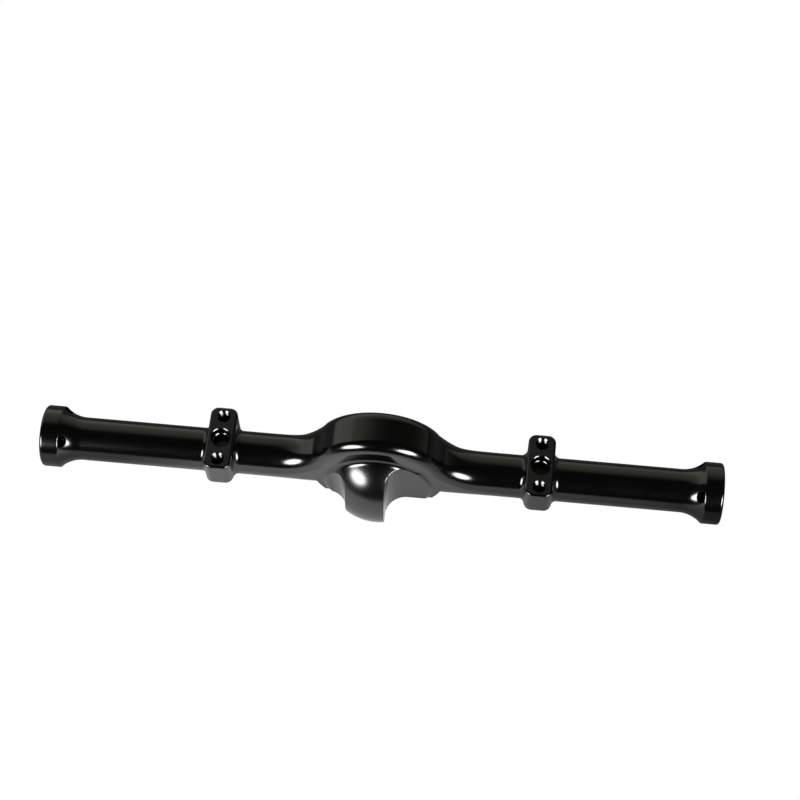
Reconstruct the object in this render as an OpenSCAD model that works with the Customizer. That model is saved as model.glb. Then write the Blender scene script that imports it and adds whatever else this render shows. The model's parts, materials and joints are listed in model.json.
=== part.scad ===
// Axle housing of a scale-model truck, machined from one piece of aluminium.
// X runs along the axle, the nose points to -Y and the spring pads face +Z.
// The origin is on the axle's centre line, halfway between the end faces.

/* [Axle tube] */
// Length between the two end faces
axle_l = 140; // [110:1:180]
// Outside diameter of the tube
tube_d = 8.9; // [8:0.1:11]
// Bore that the axle shafts turn in
bore_d = 5.2; // [4:0.1:6]

/* [End flanges] */
// Outside diameter of a flange
flange_d = 12.7; // [12:0.1:15]
// Width of the straight land at each end
flange_w = 3.5; // [2.5:0.1:6]
// Radius of the cove that runs down from the land to the tube
flange_cove_r = 6.5; // [4:0.1:10]
// Rounding of the land's two edges
flange_edge_r = 0.6; // [0.2:0.1:1]
// Circle that the flange screws stand on
screw_pcd = 9.6; // [9:0.1:10.5]
// Flange screws at each end
screw_n = 4; // [3:1:4]
// Turn of the screw circle about the axle, for the caster of the steering knuckles
screw_turn = -9; // [-15:1:15]
// Clearance hole of a flange screw
screw_d = 1.7; // [1.2:0.1:2.2]
// Pocket that a screw head sinks into
screw_head_d = 3; // [2.6:0.1:3.4]
// Screw pocket's floor beyond the end of the land
pocket_back = 0.3; // [0.05:0.05:0.5]
// Straight part of a screw pocket, before its round end
pocket_l = 0.2; // [0.1:0.1:3]

/* [Spring pads] */
// Distance between the centres of the two pads
pad_pitch = 65.5; // [55:0.5:80]
// Width of a pad along the axle
pad_w = 5.6; // [5:0.1:8]
// Length of a pad across the axle
pad_l = 13.8; // [12.5:0.1:18]
// Height of the pad's face over the axle's centre line
pad_top = 6.3; // [6:0.1:9]
// Depth of the pad's underside below the centre line
pad_drop = 0.9; // [0.5:0.1:2]
// Corner radius of the pad's face
pad_corner_r = 1.6; // [1:0.1:2]
// Rounding of the edge round the pad's face
pad_edge_r = 0.45; // [0.2:0.05:0.5]
// Cove between the pad's sides and the tube
pad_cove_r = 1.3; // [0.8:0.1:1.5]
// Distance between the two tapped holes in a pad
pad_hole_pitch = 9.6; // [9:0.1:11]
// Tapped hole in a pad
pad_hole_d = 2.05; // [1.6:0.05:2.5]
// Width of the countersink round a tapped hole
pad_sink_w = 0.35; // [0.2:0.05:0.6]
// Depth of a tapped hole
pad_hole_l = 5.6; // [4:0.1:6]
// Recess for the head of the spring's centre bolt
pad_seat_d = 4; // [3.5:0.1:5]
// Depth of that recess
pad_seat_l = 1.2; // [0.5:0.1:1.4]
// Width of the chamfer round the recess and round the narrower hole
pad_seat_bevel = 0.15; // [0.1:0.05:0.35]
// Narrower hole below the recess
pad_pin_d = 3; // [2:0.1:3.2]
// Depth of the narrower hole below the recess
pad_pin_l = 1.8; // [0.5:0.1:1.9]

/* [Gear case] */
// Radius of the arched case
arch_r = 13.4; // [13:0.1:16]
// Height of the arch's centre over the axle's centre line
arch_up = 2.95; // [1.5:0.05:5]
// Rounding of the arch's front and rear edges
arch_edge_r = 2.2; // [1:0.1:3]
// Radius of the cove from the arch down to the tube
arch_cove_r = 9.7; // [6:0.1:12]
// Thickness of the case from front to rear
case_w = 9.1; // [9:0.1:11]
// Depth of the flat underside below the centre line
case_drop = 4.5; // [4.5:0.1:6]

/* [Ring gear dome and nose] */
// Radius of the dome over the ring gear
dome_r = 11.3; // [10.5:0.1:12]
// Distance of the dome's centre in front of the centre line
dome_out = 0.7; // [0:0.1:2]
// Cove between the dome and the front of the case
dome_cove_r = 1.5; // [0.8:0.1:2]
// Width of the nose
nose_w = 8.1; // [6:0.1:10]
// Sideways shift of the nose from the middle of the case
nose_shift = -2.2; // [-3:0.1:3]
// Cove between the nose's sides and the shoulders
nose_cove_r = 4.3; // [2:0.1:5]
// Height that the shoulders stand proud of the front of the case
shoulder_up = 0.35; // [0.1:0.05:0.5]

/* [Gear space and cover fixing] */
// Wall left over the top of the gear space
case_wall = 2.4; // [1.8:0.1:3]
// Wall left at the front and rear of the gear space
side_wall = 1.2; // [1:0.1:2]
// Width of the gear space along the axle
gear_space_w = 15; // [10:0.5:16]
// Wall left over the ring gear inside the dome
dome_wall = 1.8; // [1.2:0.1:2.5]
// Wall left at each side of the nose
nose_wall = 1.4; // [1:0.1:2]
// Distance between the cover screws along the axle
cover_pitch_x = 19.2; // [18:0.1:20]
// Distance between the cover screws across the axle
cover_pitch_y = 6.2; // [6:0.1:6.6]
// Tapped hole of a cover screw
cover_hole_d = 1.6; // [1.2:0.1:2]
// Depth of a cover screw's hole
cover_hole_l = 2.4; // [1.5:0.1:2.5]

/* [Hidden] */
$fn = 96;
// Coves are sunk this far into the faces they run out on, so that no two faces only touch
sink = 0.03;
// The wings are this much thinner on each side than the tube, for the same reason
wing_inset = 0.05;
// Extra length of a cutting tool beyond the face it starts from
over = 1;
tube_r = tube_d / 2;
flange_r = flange_d / 2;
flange_rise = flange_r - tube_r;
// Centres of the cove and of the land's inner rounding, which touch, and the point where they meet
flange_turn_r = flange_cove_r + flange_edge_r;
land_x = axle_l / 2 - flange_w;
cove_x = land_x - sqrt(pow(flange_turn_r, 2) - pow(flange_turn_r - flange_rise, 2));
cove_end_r = flange_r - flange_edge_r * flange_rise / flange_turn_r;
case_y = case_w / 2;
wing_y = tube_r - wing_inset;
// Centre of the cove between arch and tube
wing_z = tube_r + arch_cove_r;
wing_x = sqrt(pow(arch_r + arch_cove_r, 2) - pow(wing_z - arch_up, 2));
wing_r = arch_cove_r + sink;
wing_sweep = atan2(wing_x, wing_z - arch_up);
// The wing's foot ends this far below the centre line, inside the tube
wing_foot = 0.5;
// Centre of the cove round the dome: out from the centre line, and away from the dome's axis
dome_cove_out = case_y + dome_cove_r - sink;
dome_cove_rho = sqrt(pow(dome_r + dome_cove_r, 2) - pow(dome_cove_out - dome_out, 2));
dome_join = dome_out + (dome_cove_out - dome_out) * dome_r / (dome_r + dome_cove_r);
dome_in = case_y / 2;
shoulder_y = case_y + shoulder_up;
far = 2 * arch_r;

// Solid of revolution about the axle, from a profile with the radius across and X upward
module about_axle() {
  rotate([0, 90, 0])
    rotate_extrude()
      children();
}

// Solid of revolution about a line parallel to Y, from a profile with the radius across
module about_y(turn = 360) {
  rotate([90, 0, 0])
    rotate_extrude(angle = turn)
      children();
}

// One half of the tube with its flange, as a profile from the middle to the end face
module axle_profile() {
  edge_x = axle_l / 2 - flange_edge_r;
  square([tube_r, edge_x]);
  difference() {
    translate([0, cove_x])
      square([cove_end_r, land_x - cove_x]);
    translate([tube_r + flange_cove_r, cove_x])
      circle(r = flange_cove_r);
  }
  translate([0, land_x - sink])
    square([flange_r, edge_x - land_x + sink]);
  translate([0, land_x])
    square([flange_r - flange_edge_r, flange_w]);
  for (x = [land_x, edge_x])
    translate([flange_r - flange_edge_r, x])
      circle(r = flange_edge_r);
}

module axle() {
  about_axle() {
    axle_profile();
    mirror([0, 1])
      axle_profile();
  }
}

// Block that the leaf spring sits on, with a cove down to the tube at both sides
module spring_pad() {
  half_w = pad_w / 2 - pad_corner_r;
  half_l = pad_l / 2 - pad_corner_r;
  rotate([90, 0, 0])
    linear_extrude(2 * half_l, center = true)
      pad_section(pad_w / 2);
  rotate([90, 0, 90])
    linear_extrude(2 * half_w, center = true)
      pad_section(pad_l / 2);
  for (x = [-half_w, half_w], y = [-half_l, half_l])
    translate([x, y, 0])
      rotate_extrude()
        intersection() {
          pad_section(pad_corner_r);
          translate([0, -pad_drop])
            square([pad_l, pad_l]);
        }
  intersection() {
    pad_coves();
    translate([-pad_w, -pad_l / 2, -pad_drop])
      cube([2 * pad_w, pad_l, pad_drop + pad_top]);
  }
}

// Upright section of a pad that reaches this far to each side, rounded at its upper corners
module pad_section(reach) {
  inner = reach - pad_edge_r;
  translate([-reach, -pad_drop])
    square([2 * reach, pad_drop + pad_top - pad_edge_r]);
  translate([-inner, -pad_drop])
    square([2 * inner, pad_drop + pad_top]);
  for (x = [-inner, inner])
    translate([x, pad_top - pad_edge_r])
      circle(r = pad_edge_r);
}

module pad_coves() {
  reach = pad_w / 2 + pad_cove_r;
  about_axle()
    difference() {
      translate([0, -reach])
        square([tube_r + pad_cove_r, 2 * reach]);
      for (x = [-reach, reach])
        translate([tube_r + pad_cove_r - sink, x])
          circle(r = pad_cove_r);
    }
}

// Arched case: a round slab with rounded edges above the axle and sharp ones at its flat underside
module gear_case() {
  intersection() {
    union() {
      translate([0, 0, arch_up])
        about_y()
          arch_section();
      intersection() {
        translate([0, 0, arch_up])
          rotate([90, 0, 0])
            cylinder(r = arch_r, h = 2 * case_y, center = true);
        translate([-far, -far, -far])
          cube([2 * far, 2 * far, far]);
      }
    }
    translate([-far, -far, -case_drop])
      cube([2 * far, 2 * far, 2 * far]);
  }
}

// Section of the arch with its radius across and its front upward
module arch_section() {
  core = arch_r - arch_edge_r;
  half = case_y - arch_edge_r;
  translate([0, -case_y])
    square([core, 2 * case_y]);
  translate([0, -half])
    square([arch_r, 2 * half]);
  for (y = [-half, half])
    translate([core, y])
      circle(r = arch_edge_r);
}

// Wing that runs from the arch down onto the tube along a cove, with a full round on its edge
module wing() {
  translate([wing_x, 0, wing_z])
    rotate([0, wing_sweep + 90, 0])
      about_y(wing_sweep) {
        translate([wing_r + wing_y, 0])
          circle(r = wing_y);
        translate([wing_r + wing_y, -wing_y])
          square([wing_z + wing_foot - wing_r - wing_y, 2 * wing_y]);
      }
}

// Dome over the ring gear, trimmed in plan to the nose and the shoulders beside it
module dome() {
  intersection() {
    about_y()
      dome_profile();
    translate([0, 0, -case_drop])
      linear_extrude(far)
        nose_plan();
  }
}

// The dome's radius runs across, the distance in front of the axle's centre line runs upward
module dome_profile() {
  intersection() {
    translate([0, dome_out])
      circle(r = dome_r);
    translate([0, dome_in])
      square([far, far]);
  }
  difference() {
    translate([0, dome_in])
      square([dome_cove_rho, dome_join - dome_in]);
    translate([dome_cove_rho, dome_cove_out])
      circle(r = dome_cove_r);
  }
}

// Plan of the nose, with a cove at each side where it runs into the shoulders
module nose_plan() {
  side = nose_w / 2 + nose_cove_r;
  translate([-far, -shoulder_y])
    square([2 * far, shoulder_y]);
  translate([nose_shift, -shoulder_y]) {
    translate([-nose_w / 2, -far])
      square([nose_w, far]);
    difference() {
      translate([-side, -nose_cove_r])
        square([2 * side, nose_cove_r]);
      for (x = [-side, side])
        translate([x, -nose_cove_r])
          circle(r = nose_cove_r);
    }
  }
}

// Room for the gears, open at the flat underside
module gear_space() {
  intersection() {
    translate([0, 0, arch_up])
      rotate([90, 0, 0])
        cylinder(r = arch_r - case_wall, h = 2 * (case_y - side_wall), center = true);
    translate([-gear_space_w / 2, -far, -case_drop - over])
      cube([gear_space_w, 2 * far, 2 * far]);
  }
  intersection() {
    translate([0, -dome_out, 0])
      sphere(r = dome_r - dome_wall);
    translate([nose_shift - nose_w / 2 + nose_wall, -far, -case_drop - over])
      cube([nose_w - 2 * nose_wall, far, 2 * far]);
  }
}

// Screw holes through a flange, each with a pocket for the head on its inner side
module flange_screws() {
  floor_x = land_x - pocket_back;
  for (i = [0 : screw_n - 1])
    rotate([(i + 0.5) * 360 / screw_n + screw_turn, 0, 0])
      translate([0, screw_pcd / 2, 0])
        rotate([0, 90, 0]) {
          translate([0, 0, floor_x - pocket_l])
            cylinder(d = screw_d, h = axle_l / 2 - floor_x + pocket_l + over);
          translate([0, 0, floor_x - pocket_l])
            cylinder(d = screw_head_d, h = pocket_l);
          translate([0, 0, floor_x - pocket_l])
            sphere(d = screw_head_d);
        }
}

// Tapped holes and the stepped recess in the face of a spring pad
module pad_holes() {
  seat_z = pad_top - pad_seat_l;
  for (y = [-pad_hole_pitch / 2, pad_hole_pitch / 2])
    translate([0, y, pad_top]) {
      translate([0, 0, -pad_hole_l])
        cylinder(d = pad_hole_d, h = pad_hole_l + over);
      mouth(pad_hole_d, pad_sink_w);
    }
  translate([0, 0, seat_z])
    cylinder(d = pad_seat_d, h = pad_seat_l + over);
  translate([0, 0, pad_top])
    mouth(pad_seat_d, pad_seat_bevel);
  translate([0, 0, seat_z - pad_pin_l])
    cylinder(d = pad_pin_d, h = pad_pin_l + over);
  translate([0, 0, seat_z])
    mouth(pad_pin_d, pad_seat_bevel);
}

// Cutter for a 45 degree chamfer of that width round a hole whose mouth is at the origin
module mouth(d, w) {
  translate([0, 0, -w])
    cylinder(r1 = d / 2, r2 = d / 2 + w + sink, h = w + sink);
}

module cover_holes() {
  for (x = [-cover_pitch_x / 2, cover_pitch_x / 2], y = [-cover_pitch_y / 2, cover_pitch_y / 2])
    translate([x, y, -case_drop - over])
      cylinder(d = cover_hole_d, h = cover_hole_l + over);
}

module axle_housing() {
  color([0.03, 0.03, 0.032])
    difference() {
      union() {
        axle();
        gear_case();
        dome();
        for (side = [0, 1])
          mirror([side, 0, 0]) {
            wing();
            translate([pad_pitch / 2, 0, 0])
              spring_pad();
          }
      }
      rotate([0, 90, 0])
        cylinder(d = bore_d, h = axle_l + 2 * over, center = true);
      gear_space();
      cover_holes();
      for (side = [0, 1])
        mirror([side, 0, 0]) {
          flange_screws();
          translate([pad_pitch / 2, 0, 0])
            pad_holes();
        }
    }
}

axle_housing();
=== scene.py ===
import json
import math

import bmesh
import bpy
from mathutils import Matrix, Vector


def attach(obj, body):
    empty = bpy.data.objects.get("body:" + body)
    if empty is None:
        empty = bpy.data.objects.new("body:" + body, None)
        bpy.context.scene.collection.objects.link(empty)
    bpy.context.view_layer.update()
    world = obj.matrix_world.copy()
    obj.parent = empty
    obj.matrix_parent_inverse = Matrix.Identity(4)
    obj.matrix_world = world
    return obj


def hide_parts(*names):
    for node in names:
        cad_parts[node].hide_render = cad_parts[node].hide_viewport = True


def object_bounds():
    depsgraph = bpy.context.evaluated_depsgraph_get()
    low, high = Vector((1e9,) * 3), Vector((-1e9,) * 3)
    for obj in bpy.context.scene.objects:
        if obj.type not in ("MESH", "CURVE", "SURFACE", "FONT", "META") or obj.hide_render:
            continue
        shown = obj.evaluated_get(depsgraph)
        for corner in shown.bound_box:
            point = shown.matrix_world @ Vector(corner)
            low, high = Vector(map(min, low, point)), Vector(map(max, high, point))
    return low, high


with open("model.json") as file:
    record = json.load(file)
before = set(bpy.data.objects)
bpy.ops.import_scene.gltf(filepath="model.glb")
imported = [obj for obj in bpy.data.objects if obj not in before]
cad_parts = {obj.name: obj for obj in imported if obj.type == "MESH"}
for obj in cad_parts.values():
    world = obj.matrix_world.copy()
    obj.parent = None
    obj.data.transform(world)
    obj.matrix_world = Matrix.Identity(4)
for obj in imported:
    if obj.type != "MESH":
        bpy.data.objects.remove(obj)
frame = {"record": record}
cad_low, cad_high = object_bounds()

# The view: the housing lies across the picture, seen from well above and a little from the right.
# A long lens keeps both of its ends nearly the same size.
VIEW_ELEVATION = math.radians(63)
VIEW_YAW = math.radians(6.494)
VIEW_ROLL = math.radians(-0.903)
VIEW_DISTANCE = 0.3829
LENS_MM = 83.49
SENSOR_MM = 36
CLIP_FROM = 0.01
FRAME_RIGHT = 0.00403
FRAME_UP = 0.01328

scene = bpy.context.scene
towards = Vector((
    math.sin(VIEW_YAW) * math.cos(VIEW_ELEVATION),
    -math.cos(VIEW_YAW) * math.cos(VIEW_ELEVATION),
    math.sin(VIEW_ELEVATION),
))
level = Vector((math.cos(VIEW_YAW), math.sin(VIEW_YAW), 0))
rise = towards.cross(level)
across = level * math.cos(VIEW_ROLL) + rise * math.sin(VIEW_ROLL)
upward = rise * math.cos(VIEW_ROLL) - level * math.sin(VIEW_ROLL)
camera = bpy.data.objects.new("camera", bpy.data.cameras.new("camera"))
scene.collection.objects.link(camera)
camera.matrix_world = Matrix.LocRotScale(
    towards * VIEW_DISTANCE + across * FRAME_RIGHT + upward * FRAME_UP,
    Matrix((across, upward, towards)).transposed().to_quaternion(),
    None,
)
camera.data.lens = LENS_MM
camera.data.sensor_width = SENSOR_MM
camera.data.clip_start = CLIP_FROM
scene.camera = camera
scene.view_settings.view_transform = "Standard"

# Axle tube and end flanges: turned between centres from one bar of aluminium. A long cove runs
# from the tube up to the land of each flange, and both edges of the land are rounded.
# All sizes of the housing are in millimetres until the last step.
ALONG_AXLE = Vector((1, 0, 0))
mounts = {mount["name"]: mount for mount in frame["record"]["mounts"]}
BORE_R = mounts["axle_bore"]["dims"]["r_mm"]
END_X = mounts["axle_bore"]["dims"]["length_mm"] / 2
TUBE_R = 4.45
FLANGE_R = 6.35
LAND_W = 3.5
LAND_EDGE_R = 0.6
FLANGE_COVE_R = 6.5
FACETS = 112
HALF_FACET = math.pi / FACETS
LAND_EDGE_STEPS = 6
LAND_INNER_STEPS = 5
FLANGE_COVE_STEPS = 20
WELD = 1e-4


def line(bm, start, *corners):
    """Draws straight lines from a vertex through the corners, and returns the last vertex."""
    for corner in corners:
        start = bmesh.ops.extrude_vert_indiv(bm, verts=[start])["verts"][0]
        start.co = corner
    return start


def arc(bm, start, centre, axis, turn, steps):
    """Draws an arc from a vertex round a centre, and returns its last vertex."""
    drawn = bmesh.ops.spin(bm, geom=[start], cent=centre, axis=axis, angle=turn, steps=steps)
    return drawn["geom_last"][0]


def turned(bm, axis, facets, start=0):
    """Spins the profile in a bmesh once round an axis through the origin into a closed solid."""
    bmesh.ops.rotate(bm, verts=bm.verts, cent=(0, 0, 0), matrix=Matrix.Rotation(start, 3, axis))
    bmesh.ops.spin(bm, geom=bm.verts[:] + bm.edges[:], cent=(0, 0, 0), axis=axis,
                   angle=math.tau, steps=facets, use_merge=True)
    bmesh.ops.remove_doubles(bm, verts=bm.verts, dist=WELD)
    bmesh.ops.recalc_face_normals(bm, faces=bm.faces)
    return bm


# The profile runs from the left end to the right, with the radius along Z. The cove and the
# inner rounding of the land touch at one angle, which gives where the cove starts. Where the gear
# case will be, the tube is divided into short stations for its arch to be shaped from.
cove_rise = FLANGE_R - TUBE_R
cove_turn = math.acos(1 - cove_rise / (FLANGE_COVE_R + LAND_EDGE_R))
land_x = END_X - LAND_W
cove_x = land_x - (FLANGE_COVE_R + LAND_EDGE_R) * math.sin(cove_turn)
flange_cove_z = TUBE_R + FLANGE_COVE_R
edge_r = FLANGE_R - LAND_EDGE_R
edge_x = END_X - LAND_EDGE_R
CASE_REACH = 27
STATION = 0.3

axle = bmesh.new()
pen = axle.verts.new((-END_X, 0, 0))
pen = line(axle, pen, (-END_X, 0, edge_r))
turn_over = Vector((0, 1, 0))
pen = arc(axle, pen, (-edge_x, 0, edge_r), turn_over, math.pi / 2, LAND_EDGE_STEPS)
pen = line(axle, pen, (-land_x, 0, FLANGE_R))
pen = arc(axle, pen, (-land_x, 0, edge_r), turn_over, cove_turn, LAND_INNER_STEPS)
pen = arc(axle, pen, (-cove_x, 0, flange_cove_z), turn_over, -cove_turn, FLANGE_COVE_STEPS)
station = -CASE_REACH
while station <= CASE_REACH + STATION / 2:
    pen = line(axle, pen, (station, 0, TUBE_R))
    station += STATION
pen = line(axle, pen, (cove_x, 0, TUBE_R))
pen = arc(axle, pen, (cove_x, 0, flange_cove_z), turn_over, -cove_turn, FLANGE_COVE_STEPS)
pen = arc(axle, pen, (land_x, 0, edge_r), turn_over, cove_turn, LAND_INNER_STEPS)
pen = line(axle, pen, (edge_x, 0, FLANGE_R))
pen = arc(axle, pen, (edge_x, 0, edge_r), turn_over, math.pi / 2, LAND_EDGE_STEPS)
line(axle, pen, (END_X, 0, 0))
turned(axle, ALONG_AXLE, FACETS, HALF_FACET)

# Gear case arch: milled from the same bar. Its top is an arch that runs out on the tube in a wide
# cove, and the rounding of its edges grows along the cove until it is as round as the tube.
ARCH_R = 13.4
ARCH_UP = 2.95
ARCH_COVE_R = 9.7
CASE_Y = 4.55
EDGE_R = 2.2
FRONT_EDGE_GROWS = (10, 23)
REAR_EDGE_GROWS = (11, 17)
CASE_NARROWS = (13.3, 24)
SPREAD_RATE = 4
cove_z = TUBE_R + ARCH_COVE_R
cove_centre = math.sqrt((ARCH_R + ARCH_COVE_R) ** 2 - (cove_z - ARCH_UP) ** 2)
arch_end = cove_centre * ARCH_R / (ARCH_R + ARCH_COVE_R)


def ease(x, span):
    """Runs smoothly from 0 at the start of a span to 1 at its end."""
    t = min(max((x - span[0]) / (span[1] - span[0]), 0), 1)
    return t * t * (3 - 2 * t)


def crown(x):
    """Height of the top over the centre line, and its slope, at a distance from the middle."""
    if x < arch_end:
        up = math.sqrt(ARCH_R ** 2 - x ** 2)
        return ARCH_UP + up, -x / up
    if x < cove_centre:
        down = math.sqrt(ARCH_COVE_R ** 2 - (cove_centre - x) ** 2)
        return cove_z - down, (x - cove_centre) / down
    return TUBE_R, 0


for vert in axle.verts:
    x = abs(vert.co.x)
    if x > CASE_REACH - STATION / 2:
        continue
    turn = math.atan2(vert.co.z, abs(vert.co.y))
    side = math.copysign(1, vert.co.y)
    half = CASE_Y + (TUBE_R - CASE_Y) * ease(x, CASE_NARROWS)
    if turn < 0:
        vert.co.y = side * half * math.cos(turn)
        continue
    top, slope = crown(x)
    squarer = 1 - ease(x, FRONT_EDGE_GROWS if side < 0 else REAR_EDGE_GROWS)
    edge = half + (EDGE_R - half) * squarer
    edge_z = min(edge * math.hypot(1, slope), top)
    # The facets stop half a facet short of the rounding's two ends, and are spread to reach them.
    spread_out = (turn - HALF_FACET) / (1 - 4 * HALF_FACET / math.pi)
    turn += (spread_out - turn) * min(1, SPREAD_RATE * squarer)
    vert.co.y = side * (half - edge + edge * math.cos(turn))
    vert.co.z = top - edge_z + edge_z * math.sin(turn)

# Case front: the foot of the case with its flat underside, and a dome over the ring gear that is
# cut back in plan to a nose with a cove at each side. A cutter has broken all its sharp edges.
FOOT_Z = -4.5
DOME_R = 11.3
DOME_OUT = 0.7
DOME_COVE_R = 1.5
NOSE_W = 8.1
NOSE_SHIFT = -2.2
NOSE_COVE_R = 4.3
SHOULDER_Y = 4.9
BROKEN_EDGE = 0.22
BROKEN_STEPS = 4
FOOT_TOP = 1
FOOT_FACETS = 160
DOME_FACETS = 144
DOME_STEPS = 36
DOME_COVE_STEPS = 16
NOSE_COVE_STEPS = 24
PLAN_REACH = 20
PLAN_BELOW = 2
PLAN_H = 30
HAIR = 0.002
COVE_SINK = 0.02
CASE_WELD = 0.03
COPLANAR = math.radians(0.5)
BROKEN_OVER = math.radians(40)


def solid(name, bm):
    """Puts a bmesh into the scene as an object, ready to be joined or cut."""
    mesh = bpy.data.meshes.new(name)
    bm.to_mesh(mesh)
    bm.free()
    body = bpy.data.objects.new(name, mesh)
    scene.collection.objects.link(body)
    return body


def joined(base, operation, *others):
    """The base with other solids added, cut away or intersected, as a new bmesh."""
    for other in others:
        step = base.modifiers.new(other.name, "BOOLEAN")
        step.operation = operation
        step.solver = "MANIFOLD"
        step.object = other
    result = bmesh.new()
    result.from_object(base, bpy.context.evaluated_depsgraph_get())
    for body in (base, *others):
        bpy.data.meshes.remove(body.data)
    return result


def pushed(bm, height):
    """Closes the outline in a bmesh and extrudes it by a vector."""
    outline = bmesh.ops.contextual_create(bm, geom=bm.edges[:])["faces"]
    raised = bmesh.ops.extrude_face_region(bm, geom=outline)["geom"]
    top = [v for v in raised if isinstance(v, bmesh.types.BMVert)]
    bmesh.ops.translate(bm, vec=height, verts=top)
    bmesh.ops.recalc_face_normals(bm, faces=bm.faces)
    return bm


def arch_disc(radius, half):
    """A round disc on the arch's own centre that reaches equally far to the front and rear."""
    bm = bmesh.new()
    bmesh.ops.create_circle(bm, segments=FOOT_FACETS, radius=radius)
    bmesh.ops.rotate(bm, verts=bm.verts, matrix=Matrix.Rotation(math.pi / 2, 3, "X"))
    bmesh.ops.translate(bm, vec=(0, -half, ARCH_UP), verts=bm.verts)
    return pushed(bm, (0, 2 * half, 0))


def kept(bm, point, normal):
    """Cuts a solid on a plane, keeps the part that the normal points away from and closes it."""
    cut = bmesh.ops.bisect_plane(bm, geom=bm.verts[:] + bm.edges[:] + bm.faces[:],
                                 plane_co=point, plane_no=normal, clear_outer=True)
    rim = [e for e in cut["geom_cut"] if isinstance(e, bmesh.types.BMEdge)]
    bmesh.ops.contextual_create(bm, geom=rim)
    bmesh.ops.recalc_face_normals(bm, faces=bm.faces)


# The foot is a disc as wide as the arch, a hair thicker than the case so that the two join cleanly.
foot = arch_disc(ARCH_R, CASE_Y + HAIR)
kept(foot, (0, 0, FOOT_TOP), (0, 0, 1))

# The dome's profile runs from its pole outwards, with the radius along Z and its reach along -Y.
# Its cove sinks a little into the flat front.
dome_cove_y = CASE_Y + DOME_COVE_R - COVE_SINK
dome_cove_z = math.sqrt((DOME_R + DOME_COVE_R) ** 2 - (dome_cove_y - DOME_OUT) ** 2)
dome_turn = math.atan2(dome_cove_z, dome_cove_y - DOME_OUT)
dome = bmesh.new()
pen = dome.verts.new((0, -DOME_OUT - DOME_R, 0))
back_over = Vector((-1, 0, 0))
pen = arc(dome, pen, (0, -DOME_OUT, 0), back_over, dome_turn, DOME_STEPS)
pen = arc(dome, pen, (0, -dome_cove_y, dome_cove_z), back_over, -dome_turn, DOME_COVE_STEPS)
line(dome, pen, (0, -CASE_Y / 2, dome_cove_z), (0, -CASE_Y / 2, 0))
turned(dome, turn_over, DOME_FACETS)

# The plan is what the cutter leaves of the dome: two shoulders, and the nose between their coves.
nose_left = NOSE_SHIFT - NOSE_W / 2
nose_right = NOSE_SHIFT + NOSE_W / 2
cove_left = nose_left - NOSE_COVE_R
cove_right = nose_right + NOSE_COVE_R
nose_foot = -SHOULDER_Y - NOSE_COVE_R
plan_z = FOOT_Z - PLAN_BELOW
straight_up = Vector((0, 0, 1))
plan = bmesh.new()
first = plan.verts.new((-PLAN_REACH, 0, plan_z))
pen = line(plan, first, (-PLAN_REACH, -SHOULDER_Y, plan_z), (cove_left, -SHOULDER_Y, plan_z))
pen = arc(plan, pen, (cove_left, nose_foot, plan_z), straight_up, -math.pi / 2, NOSE_COVE_STEPS)
pen = line(plan, pen, (nose_left, -PLAN_REACH, plan_z), (nose_right, -PLAN_REACH, plan_z),
           (nose_right, nose_foot, plan_z))
pen = arc(plan, pen, (cove_right, nose_foot, plan_z), straight_up, -math.pi / 2, NOSE_COVE_STEPS)
pen = line(plan, pen, (PLAN_REACH, -SHOULDER_Y, plan_z), (PLAN_REACH, 0, plan_z))
plan.edges.new((pen, first))
pushed(plan, (0, 0, PLAN_H))

case = joined(solid("dome", dome), "INTERSECT", solid("plan", plan))
case = joined(solid("foot", foot), "UNION", solid("case", case))
cut = bmesh.ops.bisect_plane(case, geom=case.verts[:] + case.edges[:] + case.faces[:],
                             plane_co=(0, 0, FOOT_Z), plane_no=(0, 0, 1), clear_inner=True)
rim = [e for e in cut["geom_cut"] if isinstance(e, bmesh.types.BMEdge)]
bmesh.ops.contextual_create(case, geom=rim)
bmesh.ops.remove_doubles(case, verts=case.verts, dist=CASE_WELD)
bmesh.ops.dissolve_limit(case, angle_limit=COPLANAR, verts=case.verts, edges=case.edges)
bmesh.ops.recalc_face_normals(case, faces=case.faces)
sharp = [e for e in case.edges
         if e.is_manifold and e.is_convex and e.calc_face_angle() > BROKEN_OVER]
bmesh.ops.bevel(case, geom=sharp, offset=BROKEN_EDGE, offset_type="OFFSET", segments=BROKEN_STEPS,
                profile=0.5, affect="EDGES", material=-1, clamp_overlap=False)
# Where the dome's rings run along the underside, the bevel leaves points below it.
for vert in case.verts:
    vert.co.z = max(vert.co.z, FOOT_Z)

# Spring pads: two blocks with flat faces that stand across the tube on coves. Their upright
# corners and the rim of their face are rounded.
PAD_W = 5.6
PAD_L = 13.8
PAD_DROP = 0.9
PAD_CORNER_R = 1.6
PAD_RIM_R = 0.45
PAD_COVE_R = 1.3
PAD_CORNER_STEPS = 14
PAD_RIM_STEPS = 6
PAD_COVE_STEPS = 16
RING_IN_TUBE = 1
RIDGE_LINE = 0.2
ON_FACE = 0.01
MM_PER_M = 1000
pad_x = abs(mounts["pad_face_right"]["pos_m"][0]) * MM_PER_M
pad_z = mounts["pad_face_right"]["pos_m"][2] * MM_PER_M


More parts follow.
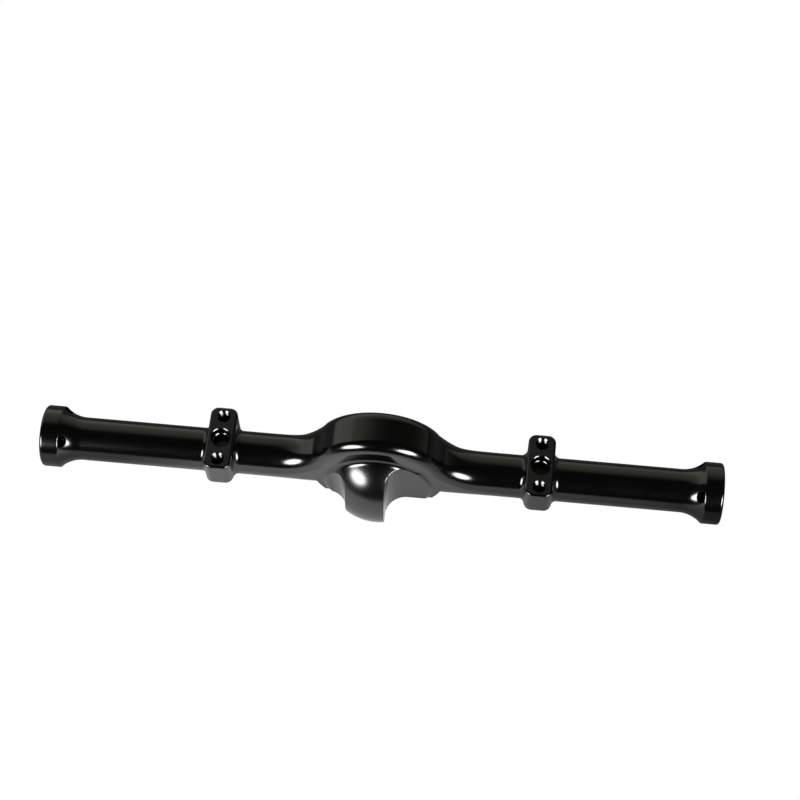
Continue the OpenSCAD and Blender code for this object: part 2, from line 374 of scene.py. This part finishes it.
def pad_block(x):
    """A pad's rounded block at a place along the axle."""
    bm = bmesh.new()
    bmesh.ops.create_cube(bm, size=1)
    bmesh.ops.scale(bm, vec=(PAD_W, PAD_L, pad_z + PAD_DROP), verts=bm.verts)
    bmesh.ops.translate(bm, vec=(x, 0, (pad_z - PAD_DROP) / 2), verts=bm.verts)
    upright = [e for e in bm.edges if abs(e.verts[0].co.z - e.verts[1].co.z) > PAD_DROP]
    bmesh.ops.bevel(bm, geom=upright, offset=PAD_CORNER_R, offset_type="OFFSET",
                    segments=PAD_CORNER_STEPS, profile=0.5, affect="EDGES", material=-1)
    rim = [e for e in bm.edges if all(v.co.z > pad_z - ON_FACE for v in e.verts)]
    bmesh.ops.bevel(bm, geom=rim, offset=PAD_RIM_R, offset_type="OFFSET",
                    segments=PAD_RIM_STEPS, profile=0.5, affect="EDGES", material=-1)
    under = [e for e in bm.edges if all(v.co.z < ON_FACE - PAD_DROP for v in e.verts)]
    bmesh.ops.bevel(bm, geom=under, offset=BROKEN_EDGE, offset_type="OFFSET",
                    segments=BROKEN_STEPS, profile=0.5, affect="EDGES", material=-1)
    return bm


def pad_coves(x):
    """The ring with a cove at each side that a pad stands on, cut off level with its underside."""
    bm = bmesh.new()
    reach = PAD_W / 2 + PAD_COVE_R - COVE_SINK
    cove_top = TUBE_R + PAD_COVE_R - COVE_SINK
    first = bm.verts.new((-reach, 0, TUBE_R - RING_IN_TUBE))
    pen = line(bm, first, (-reach, 0, cove_top - PAD_COVE_R))
    pen = arc(bm, pen, (-reach, 0, cove_top), turn_over, -math.pi / 2, PAD_COVE_STEPS)
    pen = line(bm, pen, (PAD_COVE_R - reach + RIDGE_LINE, 0, cove_top),
               (reach - PAD_COVE_R - RIDGE_LINE, 0, cove_top), (reach - PAD_COVE_R, 0, cove_top))
    pen = arc(bm, pen, (reach, 0, cove_top), turn_over, -math.pi / 2, PAD_COVE_STEPS)
    pen = line(bm, pen, (reach, 0, TUBE_R - RING_IN_TUBE))
    bm.edges.new((pen, first))
    turned(bm, ALONG_AXLE, FACETS, HALF_FACET)
    bmesh.ops.bisect_plane(bm, geom=bm.verts[:] + bm.edges[:] + bm.faces[:],
                           plane_co=(0, 0, -PAD_DROP), plane_no=(0, 0, 1), clear_inner=True)
    bmesh.ops.holes_fill(bm, edges=bm.edges)
    bmesh.ops.translate(bm, vec=(x, 0, 0), verts=bm.verts)
    bmesh.ops.recalc_face_normals(bm, faces=bm.faces)
    return bm


blocks = [solid("case", case)]
for x in (-pad_x, pad_x):
    blocks += [solid("pad_block", pad_block(x)), solid("pad_coves", pad_coves(x))]
housing = solid("housing", joined(solid("axle", axle), "UNION", *blocks))

# Bores and screw holes: drilled and tapped after milling, each with its mouth countersunk. The gear
# space is milled out from the flat underside, with the cutter's radius left in its corners.
HOLE_FACETS = 56
CLEAR = 0.3
BORE_BEVEL = 0.3


def shifted(bm, x, y, z, flip=1):
    """Moves a cutter into its place, turned end for end along the axle where flip is -1."""
    bmesh.ops.scale(bm, vec=(flip, 1, 1), verts=bm.verts)
    bmesh.ops.translate(bm, vec=(x, y, z), verts=bm.verts)
    bmesh.ops.recalc_face_normals(bm, faces=bm.faces)
    return bm


cutters = []
bore = bmesh.new()
pen = bore.verts.new((-END_X - CLEAR, 0, 0))
line(bore, pen, (-END_X - CLEAR, 0, BORE_R + BORE_BEVEL + CLEAR),
     (BORE_BEVEL - END_X, 0, BORE_R), (END_X - BORE_BEVEL, 0, BORE_R),
     (END_X + CLEAR, 0, BORE_R + BORE_BEVEL + CLEAR), (END_X + CLEAR, 0, 0))
cutters.append(solid("bore", turned(bore, ALONG_AXLE, FACETS, HALF_FACET)))

# A flange screw's head sinks into a round-ended pocket that is cut from the tube's side.
POCKET_R = 1.5
POCKET_L = 0.2
POCKET_BACK = 0.3
POCKET_STEPS = 12
SCREW_BEVEL = 0.2
pocket_floor = land_x - POCKET_BACK
pocket_end = pocket_floor - POCKET_L
for name, mount in mounts.items():
    if not name.startswith("flange_hole"):
        continue
    x, y, z = (MM_PER_M * part for part in mount["pos_m"])
    screw_r = mount["dims"]["r_mm"]
    bm = bmesh.new()
    pen = bm.verts.new((pocket_end - POCKET_R, 0, 0))
    pen = arc(bm, pen, (pocket_end, 0, 0), turn_over, math.pi / 2, POCKET_STEPS)
    line(bm, pen, (pocket_floor, 0, POCKET_R), (pocket_floor, 0, screw_r),
         (END_X - SCREW_BEVEL, 0, screw_r), (END_X + CLEAR, 0, screw_r + SCREW_BEVEL + CLEAR),
         (END_X + CLEAR, 0, 0))
    turned(bm, ALONG_AXLE, HOLE_FACETS)
    cutters.append(solid(name, shifted(bm, 0, y, z, math.copysign(1, x))))

# Each pad has two tapped holes with wide countersinks and, between them, a stepped seat.
PAD_HOLE_L = 5.6
PAD_SINK = 0.35
PAD_THREAD_PITCH = 0.45
THREAD_DEPTH = 0.2
THREAD_STEPS = 10
DRILL_POINT = 0.6
SEAT_L = 1.2
SEAT_BEVEL = 0.15
tapped_r = mounts["pad_bolts_right"]["dims"]["hole_r_mm"]
tapped_y = mounts["pad_bolts_right"]["dims"]["spacing_y_mm"] / 2
seat_r = mounts["pad_seat_right"]["dims"]["r_mm"]
pin_r = mounts["pad_pin_right"]["dims"]["r_mm"]
pin_end = -SEAT_L - SEAT_BEVEL - mounts["pad_pin_right"]["dims"]["length_mm"]


def tapped_hole(radius, sink, depth, pitch):
    """Cutter for a tapped hole that runs down from the origin: countersink, thread, drill point."""
    bm = bmesh.new()
    pen = bm.verts.new((0, 0, CLEAR))
    pen = line(bm, pen, (radius + sink + CLEAR, 0, CLEAR), (radius, 0, -sink))
    wall = depth - sink - DRILL_POINT * radius
    steps = math.ceil(wall / pitch * THREAD_STEPS)
    for step in range(1, steps + 1):
        pen = line(bm, pen, (radius, 0, -sink - wall * step / steps))
    line(bm, pen, (0, 0, -depth))
    turned(bm, straight_up, HOLE_FACETS)
    for vert in bm.verts:
        if HAIR < -sink - vert.co.z < wall - HAIR:
            turn = vert.co.z / pitch * math.tau - math.atan2(vert.co.y, vert.co.x)
            vert.co.xy *= 1 + THREAD_DEPTH / radius * (1 - math.cos(turn)) / 2
    return bm


for x in (-pad_x, pad_x):
    for y in (-tapped_y, tapped_y):
        bm = tapped_hole(tapped_r, PAD_SINK, PAD_HOLE_L, PAD_THREAD_PITCH)
        cutters.append(solid("tapped_hole", shifted(bm, x, y, pad_z)))
    bm = bmesh.new()
    pen = bm.verts.new((0, 0, CLEAR))
    line(bm, pen, (seat_r + SEAT_BEVEL + CLEAR, 0, CLEAR), (seat_r, 0, -SEAT_BEVEL),
         (seat_r, 0, -SEAT_L), (pin_r + SEAT_BEVEL, 0, -SEAT_L),
         (pin_r, 0, -SEAT_L - SEAT_BEVEL), (pin_r, 0, pin_end), (0, 0, pin_end))
    cutters.append(solid("seat", shifted(turned(bm, straight_up, HOLE_FACETS), x, 0, pad_z)))

# The cover's four screw holes stand at the corners of the flat underside.
COVER_BEVEL = 0.25
COVER_HOLE_L = 2.4
COVER_THREAD_PITCH = 0.4
cover = mounts["cover_bolts"]["dims"]
cover_r = cover["hole_r_mm"]
for x in (-cover["spacing_x_mm"] / 2, cover["spacing_x_mm"] / 2):
    for y in (-cover["spacing_y_mm"] / 2, cover["spacing_y_mm"] / 2):
        bm = tapped_hole(cover_r, COVER_BEVEL, COVER_HOLE_L, COVER_THREAD_PITCH)
        upside_down = Matrix.Rotation(math.pi, 3, "X")
        bmesh.ops.rotate(bm, verts=bm.verts, cent=(0, 0, 0), matrix=upside_down)
        cutters.append(solid("cover_hole", shifted(bm, x, y, FOOT_Z)))

# The gear space is a pocket under the arch. The ring gear's space opens from it into the nose.
GEAR_SPACE_W = 15
CASE_WALL = 2.4
SIDE_WALL = 1.2
DOME_WALL = 1.8
NOSE_WALL = 1.4
CUTTER_R = 1
CUTTER_STEPS = 8
BALL_FACETS = 96
BALL_RINGS = 64
SPACES_LAP = 0.01
space = arch_disc(ARCH_R - CASE_WALL, CASE_Y - SIDE_WALL)
kept(space, (GEAR_SPACE_W / 2, 0, 0), (1, 0, 0))
kept(space, (-GEAR_SPACE_W / 2, 0, 0), (-1, 0, 0))
kept(space, (0, 0, FOOT_Z - CLEAR), (0, 0, -1))
corners = [e for e in space.edges if abs(e.verts[0].co.z - e.verts[1].co.z) > CUTTER_R]
bmesh.ops.bevel(space, geom=corners, offset=CUTTER_R, offset_type="OFFSET", segments=CUTTER_STEPS,
                profile=0.5, affect="EDGES", material=-1)
cutters.append(solid("gear_space", space))

ring = bmesh.new()
bmesh.ops.create_uvsphere(ring, u_segments=BALL_FACETS, v_segments=BALL_RINGS,
                          radius=DOME_R - DOME_WALL)
bmesh.ops.translate(ring, vec=(0, -DOME_OUT, 0), verts=ring.verts)
kept(ring, (nose_left + NOSE_WALL, 0, 0), (-1, 0, 0))
kept(ring, (nose_right - NOSE_WALL, 0, 0), (1, 0, 0))
kept(ring, (0, SPACES_LAP, 0), (0, 1, 0))
kept(ring, (0, 0, FOOT_Z - CLEAR), (0, 0, -1))
cutters.append(solid("ring_gear_space", ring))

# The finished housing: cutting gives one closed skin, which is scaled to metres. Its sharp edges
# stay crisp, and so does the line where the flat front of the case ends. Elsewhere the normals
# follow the larger faces.
CRISP = math.radians(32)
FLAT_ENDS = math.radians(3)
BODY_WELD = 1e-3
TURNED, MILLED, BALL_MILLED = range(3)


def on_case_flat(face):
    """Whether a face lies in the flat front or rear of the case."""
    in_plane = all(abs(abs(v.co.y) - CASE_Y) < ON_FACE for v in face.verts)
    return in_plane and abs(face.normal.y) > math.cos(COPLANAR)


body = joined(housing, "DIFFERENCE", *cutters)
bmesh.ops.remove_doubles(body, verts=body.verts, dist=BODY_WELD)
bmesh.ops.dissolve_degenerate(body, dist=WELD, edges=body.edges)
body.normal_update()
for edge in body.edges:
    at_flat = sum(on_case_flat(face) for face in edge.link_faces) == 1
    edge.smooth = edge.calc_face_angle(0) < (FLAT_ENDS if at_flat else CRISP)
dome_centre = Vector((0, -DOME_OUT, 0))
for face in body.faces:
    face.smooth = True
    face.material_index = TURNED
    on_pad = abs(abs(face.calc_center_median().x) - pad_x) < PAD_W / 2
    if all(abs(v.co.z - (pad_z if on_pad else FOOT_Z)) < ON_FACE for v in face.verts):
        face.material_index = MILLED
    elif all(abs((v.co - dome_centre).length - DOME_R) < ON_FACE for v in face.verts):
        face.material_index = BALL_MILLED
bmesh.ops.scale(body, vec=[1 / MM_PER_M] * 3, verts=body.verts)
housing = solid("machined_housing", body)
weighted = housing.modifiers.new("weighted_normals", "WEIGHTED_NORMAL")
weighted.keep_sharp = True


def linear(code):
    """An sRGB hex colour as linear RGBA."""
    parts = [int(code[i:i + 2], 16) / 255 for i in (1, 3, 5)]
    return tuple(p / 12.92 if p <= 0.04045 else ((p + 0.055) / 1.055) ** 2.4 for p in parts) + (1,)


def add(tree, kind, settings=(), **links):
    """Adds a node, sets its values and links its inputs to the sockets given."""
    node = tree.nodes.new(kind)
    for name, value in dict(settings).items():
        if hasattr(node, name):
            setattr(node, name, value)
        else:
            node.inputs[name].default_value = value
    for name, socket in links.items():
        tree.links.new(socket, node.inputs[name.replace("_", " ")])
    return node


# Black anodised aluminium: a dyed oxide skin, sealed and glossy, over machined metal. The eye sees
# near-black with sharp grey reflections, slightly uneven gloss and the faint lines of the tools.
CLOUD_MM = 6
GRAIN_MM = 0.25
OXIDE_IOR = 1.55
DARK_BELOW = 0.3
PALE_ABOVE = 0.75
GRAIN_DEPTH = 0.02
LINES_WANDER = 0.6
BUMP_M = 0.0002
# The lines of a wave texture are this far apart at a scale of 1.
WAVE_SPACING = math.tau / 20


def anodised(name, dark, pale, smoothest, roughest, lines_along, lines_mm, lines_depth):
    """One finish of the skin: its tones, its roughness and the lines that its tool has left."""
    material = bpy.data.materials.new(name)
    material.use_nodes = True
    tree = material.node_tree
    shader = tree.nodes["Principled BSDF"]
    shader.inputs["IOR"].default_value = OXIDE_IOR
    at = add(tree, "ShaderNodeTexCoord").outputs["Object"]
    noise = add(tree, "ShaderNodeTexNoise", {"Scale": MM_PER_M / CLOUD_MM, "Detail": 4}, Vector=at)
    clouds = noise.outputs["Fac"]
    tone = add(tree, "ShaderNodeValToRGB", Fac=clouds)
    tone.color_ramp.elements[0].position = DARK_BELOW
    tone.color_ramp.elements[0].color = linear(dark)
    tone.color_ramp.elements[1].position = PALE_ABOVE
    tone.color_ramp.elements[1].color = linear(pale)
    tree.links.new(tone.outputs["Color"], shader.inputs["Base Color"])
    gloss = add(tree, "ShaderNodeMapRange", {"To Min": smoothest, "To Max": roughest}, Value=clouds)
    tree.links.new(gloss.outputs["Result"], shader.inputs["Roughness"])
    grain = add(tree, "ShaderNodeTexNoise", {"Scale": MM_PER_M / GRAIN_MM, "Detail": 2}, Vector=at)
    fine = add(tree, "ShaderNodeBump", {"Strength": GRAIN_DEPTH, "Distance": BUMP_M},
               Height=grain.outputs["Fac"])
    lines = add(tree, "ShaderNodeTexWave", {
        "bands_direction": lines_along, "Scale": MM_PER_M / lines_mm * WAVE_SPACING,
        "Distortion": LINES_WANDER, "Detail": 1,
    }, Vector=at)
    tooled = add(tree, "ShaderNodeBump", {"Strength": lines_depth, "Distance": BUMP_M},
                 Height=lines.outputs["Fac"], Normal=fine.outputs["Normal"])
    tree.links.new(tooled.outputs["Normal"], shader.inputs["Normal"])
    return material


# The turned and polished skin is the glossiest, the flat faces keep the lines of the face mill, and
# the dome has a softer gleam because a ball cutter left it in fine steps.
for finish in (
    anodised("black_anodised_turned", "#060606", "#0d0d0e", smoothest=0.1, roughest=0.18,
             lines_along="X", lines_mm=0.5, lines_depth=0.008),
    anodised("black_anodised_milled", "#101010", "#1a1a1b", smoothest=0.32, roughest=0.42,
             lines_along="Y", lines_mm=0.4, lines_depth=0.06),
    anodised("black_anodised_ball_milled", "#060606", "#0d0d0e", smoothest=0.18, roughest=0.23,
             lines_along="Z", lines_mm=0.4, lines_depth=0.01),
):
    housing.data.materials.append(finish)
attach(housing, "root")
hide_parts("axle_housing")

# Studio: a light table, plain white to the camera. Seen in the part's reflections, the table glows
# with painted shade, dimmer near and under the part as its shadow would make it, and with a painted
# pool of light, brighter in its middle. A tall pale screen behind fades upwards, two softboxes in
# front are brightest in their middle, and a dark card behind the part is painted shade on the floor
# there. The camera sees only the table; the rest is there for the part to reflect.
TABLE_W = 8
TABLE_FRONT = -0.1
TABLE_SIDE = 0.07
TABLE_GAIN = 2


def glowing(name, colour, strength):
    """A matt black material that gives off light of its own."""
    material = bpy.data.materials.new(name)
    material.use_nodes = True
    shader = material.node_tree.nodes["Principled BSDF"]
    shader.inputs["Base Color"].default_value = linear("#000000")
    shader.inputs["Specular IOR Level"].default_value = 0
    shader.inputs["Emission Color"].default_value = linear(colour)
    shader.inputs["Emission Strength"].default_value = strength
    return material


def board(name, width, height, material):
    """A flat board that lies on the origin and faces up, as an object of the studio."""
    bm = bmesh.new()
    bmesh.ops.create_grid(bm, x_segments=1, y_segments=1, size=0.5)
    bmesh.ops.scale(bm, vec=(width, height, 1), verts=bm.verts)
    made = solid(name, bm)
    made.data.materials.append(material)
    return made


table_paper = glowing("white_light_table", "#ffffff", 1)
tree = table_paper.node_tree
at = add(tree, "ShaderNodeTexCoord").outputs["Object"]
# Painted shade: to the part's reflections the table glows dimmer towards and under the part, as its
# shadow would make it.
on_table = add(tree, "ShaderNodeSeparateXYZ", Vector=at)
nearness = add(tree, "ShaderNodeMapRange", {"From Min": TABLE_FRONT, "From Max": 0},
               Value=on_table.outputs["Y"])
shade = add(tree, "ShaderNodeValToRGB", Fac=nearness.outputs["Result"])
shade.color_ramp.elements[0].color = linear("#505050")
shade.color_ramp.elements[1].color = linear("#6c6c6c")
for part, grey in ((0.25, "#b8b8b8"), (0.4, "#f0f0f0"), (0.65, "#f0f0f0"), (0.8, "#e4e4e4"),
                   (0.87, "#c8c8c8"), (0.93, "#bcbcbc")):
    shade.color_ramp.elements.new(part).color = linear(grey)
# Painted pool of light: to the part's reflections the table glows brighter in its middle than at
# its sides.
sideways = add(tree, "ShaderNodeMapRange", {"From Min": -TABLE_SIDE, "From Max": TABLE_SIDE},
               Value=on_table.outputs["X"])
spread = add(tree, "ShaderNodeValToRGB", Fac=sideways.outputs["Result"])
spread.color_ramp.elements[0].color = linear("#a5a5a5")
spread.color_ramp.elements[1].color = linear("#606060")
for part, grey in ((0.1, "#a8a8a8"), (0.22, "#f0f0f0"), (0.36, "#f4f4f4"), (0.6, "#d6d6d6"),
                   (0.77, "#acacac"), (0.9, "#a0a0a0")):
    spread.color_ramp.elements.new(part).color = linear(grey)
middle = add(tree, "ShaderNodeMapRange", {"To Max": TABLE_GAIN}, Value=spread.outputs["Color"])
painted_shade_glow = add(tree, "ShaderNodeVectorMath", {"operation": "SCALE"}, Vector=shade.outputs["Color"],
             Scale=middle.outputs["Result"])
seen = add(tree, "ShaderNodeLightPath").outputs["Is Camera Ray"]
glow = add(tree, "ShaderNodeMapRange", {"To Max": 1}, Value=seen, To_Min=painted_shade_glow.outputs["Vector"])
tree.links.new(glow.outputs["Result"], tree.nodes["Principled BSDF"].inputs["Emission Strength"])
table = board("light_table", TABLE_W, TABLE_W, table_paper)
table.data.transform(Matrix.Translation((0, 0, cad_low.z)))

SCREEN_Y = 1.2
SCREEN_H = 4
SCREEN_FADES = 3
SCREEN_TILT = math.radians(-35)
screen_cloth = glowing("pale_screen_cloth", "#f0f0e2", 1)
tree = screen_cloth.node_tree
at = add(tree, "ShaderNodeTexCoord").outputs["Object"]
tilted = add(tree, "ShaderNodeMapping", {"Rotation": (0, SCREEN_TILT, 0)}, Vector=at)
height = add(tree, "ShaderNodeSeparateXYZ", Vector=tilted.outputs["Vector"])
way_up = add(tree, "ShaderNodeMapRange", {"From Max": SCREEN_FADES}, Value=height.outputs["Z"])
fade = add(tree, "ShaderNodeValToRGB", Fac=way_up.outputs["Result"])
fade.color_ramp.elements[0].color = linear("#fcfcfc")
fade.color_ramp.elements[1].color = linear("#303030")
for part, grey in ((0.12, "#cccccc"), (0.3, "#c0c0c0"), (0.55, "#808080"), (0.75, "#484848")):
    fade.color_ramp.elements.new(part).color = linear(grey)
tree.links.new(fade.outputs["Color"], tree.nodes["Principled BSDF"].inputs["Emission Strength"])
screen = board("pale_screen", 2 * SCREEN_H, SCREEN_H, screen_cloth)
upright = Matrix.Rotation(math.pi / 2, 4, "X")
screen.data.transform(Matrix.Translation((0, SCREEN_Y, SCREEN_H / 2)) @ upright)

# Painted shade: a dimly glowing dark card on the floor behind the part, seen only in its
# reflections, stands in for the shade on the floor there.
CARD_W = 0.3
CARD_L = 0.12
CARD_GAP = 0.009
CARD_LIFT = 0.0002
CARD_GLOW = 0.1
painted_shade_card = board("painted_shade_card", CARD_W, CARD_L, glowing("painted_shade_card", "#ffffff", CARD_GLOW))
card_y = CARD_GAP + CARD_L / 2
painted_shade_card.data.transform(Matrix.Translation((0, card_y, cad_low.z + CARD_LIFT)))

SOFTBOX_W = 0.72
SOFTBOX_H = 0.5
SOFTBOX_DISTANCE = 0.9
SOFTBOX_ELEVATION = math.radians(26)
SOFTBOX_AZIMUTH = math.radians(46)
SOFTBOX_LIGHT = 28
SOFTBOX_FULL_AT = 0.45
softboxes = []
for name, around in (("softbox_left", -SOFTBOX_AZIMUTH), ("softbox_right", SOFTBOX_AZIMUTH)):
    diffuser = glowing(name + "_diffuser", "#ffffff", SOFTBOX_LIGHT)
    tree = diffuser.node_tree
    place = Matrix.Rotation(around, 4, "Z")
    place @= Matrix.Rotation(math.pi / 2 - SOFTBOX_ELEVATION, 4, "X")
    place @= Matrix.Translation((0, 0, SOFTBOX_DISTANCE))
    box = board(name, SOFTBOX_W, SOFTBOX_H, diffuser)
    box.data.transform(place)
    softboxes.append(box)
    # Its pattern is laid back onto the origin, where its middle is, and falls off to its sides.
    back = place.inverted()
    at = add(tree, "ShaderNodeTexCoord").outputs["Object"]
    laid = add(tree, "ShaderNodeMapping", {
        "Location": back.to_translation(), "Rotation": back.to_euler(),
    }, Vector=at)
    fitted = add(tree, "ShaderNodeMapping", {"Scale": (2 / SOFTBOX_W, 2 / SOFTBOX_H, 1)},
                 Vector=laid.outputs["Vector"])
    falloff = add(tree, "ShaderNodeTexGradient", {"gradient_type": "SPHERICAL"},
                  Vector=fitted.outputs["Vector"])
    light = add(tree, "ShaderNodeMapRange", {
        "interpolation_type": "SMOOTHSTEP", "From Max": SOFTBOX_FULL_AT, "To Max": SOFTBOX_LIGHT,
    }, Value=falloff.outputs["Fac"])
    emission = tree.nodes["Principled BSDF"].inputs["Emission Strength"]
    tree.links.new(light.outputs["Result"], emission)
for hidden in (screen, painted_shade_card, *softboxes):
    hidden.visible_camera = False
    hidden.visible_shadow = False
    hidden.visible_diffuse = hidden is screen

ROOM_LIGHT = 0.035
world = bpy.data.worlds.new("dark_room")
scene.world = world
world.use_nodes = True
sky = world.node_tree
seen = add(sky, "ShaderNodeLightPath").outputs["Is Camera Ray"]
strength = add(sky, "ShaderNodeMapRange", {"To Min": ROOM_LIGHT, "To Max": 1}, Value=seen)
sky.links.new(strength.outputs["Result"], sky.nodes["Background"].inputs["Strength"])
sky.nodes["Background"].inputs["Color"].default_value = linear("#ffffff")
